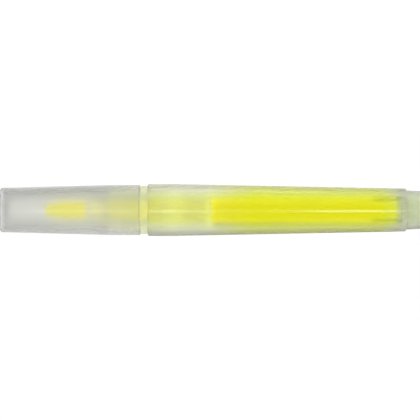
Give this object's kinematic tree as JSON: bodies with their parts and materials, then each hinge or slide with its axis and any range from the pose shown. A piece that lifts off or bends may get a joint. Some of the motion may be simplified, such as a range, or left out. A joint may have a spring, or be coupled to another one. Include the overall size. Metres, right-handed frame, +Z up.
{
  "type": "highlighter",
  "caption": "Chisel-tip highlighter with a frosted translucent barrel showing its yellow ink reservoir, and a tapered pull-off cap with a sealing liner and no clip.",
  "frame": {"origin": "under the middle of the pen's length, on the surface that the pen lies on", "axes": "+X along the pen from the cap's closed end to the tail, +Y across it, +Z up; the pen's own axis is parallel to X and above the origin"},
  "size_m": [0.132, 0.0162, 0.0162],
  "materials": {
    "frosted_tinted": "frosted translucent plastic, tinted yellow-green by the ink behind it",
    "frosted_clear": "frosted translucent plastic, nearly colourless",
    "nib_felt": "bonded fibre soaked with fluorescent yellow ink",
    "reservoir_fibre": "lengthwise fibres soaked with fluorescent yellow ink",
    "reservoir_wrap": "thin clear film"
  },
  "bodies": {
    "pen": {"barrel": "frosted_tinted", "front_section": "frosted_tinted", "nib": "nib_felt", "reservoir_core": "reservoir_fibre", "reservoir_film": "reservoir_wrap"},
    "cap": {"cap_shell": "frosted_clear", "cap_liner": "frosted_clear"}
  },
  "joints": [
    {"name": "cap_pull", "type": "slide", "parent": "pen", "child": "cap", "axis": [-1, 0, 0], "range_m": [0, 0.04]}
  ]
}
